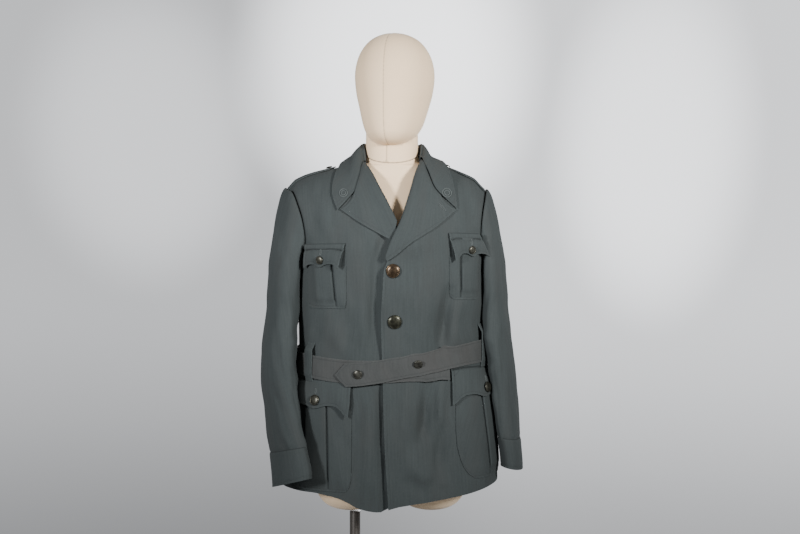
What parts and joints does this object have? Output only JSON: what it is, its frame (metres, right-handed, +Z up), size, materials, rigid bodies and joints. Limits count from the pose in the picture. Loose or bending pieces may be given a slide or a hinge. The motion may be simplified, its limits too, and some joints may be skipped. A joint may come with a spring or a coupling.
{
  "type": "military dress tunic on a limbless dress form with stand",
  "caption": "Belted military dress tunic with turned lapels, flap pockets, shoulder straps and plain domed buttons, on a headed limbless dress form with a pole and round base.",
  "frame": {"origin": "centre of the stand base's underside", "axes": "+Z up, the tunic's front faces -Y, the wearer's left is +X"},
  "size_m": [0.5675, 0.42, 1.831],
  "materials": {
    "tunic_cloth": "matt grey-green wool weave",
    "belt_cloth": "matt brown-grey wool weave",
    "button_bronze": "darkened bronze, half gloss",
    "form_cover": "cream cotton cover, stretched smooth",
    "pole_steel": "dark brown, half gloss",
    "base_steel": "pale grey, satin"
  },
  "bodies": {
    "root": {"back": "tunic_cloth", "front_left": "tunic_cloth", "front_right": "tunic_cloth", "lapel_left": "tunic_cloth", "lapel_right": "tunic_cloth", "collar": "tunic_cloth", "sleeve_left": "tunic_cloth", "sleeve_right": "tunic_cloth", "cuff_left": "tunic_cloth", "cuff_right": "tunic_cloth", "shoulder_strap_left": "tunic_cloth", "shoulder_strap_right": "tunic_cloth", "chest_pocket_left": "tunic_cloth", "chest_pocket_right": "tunic_cloth", "chest_flap_left": "tunic_cloth", "chest_flap_right": "tunic_cloth", "skirt_pocket_left": "tunic_cloth", "skirt_pocket_right": "tunic_cloth", "skirt_flap_left": "tunic_cloth", "skirt_flap_right": "tunic_cloth", "belt_loop_left": "tunic_cloth", "belt_loop_right": "tunic_cloth", "belt": "belt_cloth", "button_front_upper": "button_bronze", "button_front_lower": "button_bronze", "button_chest_flap_left": "button_bronze", "button_chest_flap_right": "button_bronze", "button_skirt_flap_left": "button_bronze", "button_skirt_flap_right": "button_bronze", "button_strap_left": "button_bronze", "button_strap_right": "button_bronze", "button_belt_end": "button_bronze", "button_belt_middle": "button_bronze", "form_torso": "form_cover", "form_head": "form_cover", "form_thigh_left": "form_cover", "form_thigh_right": "form_cover", "stand_pole": "pole_steel", "stand_base": "base_steel"}
  },
  "joints": []
}
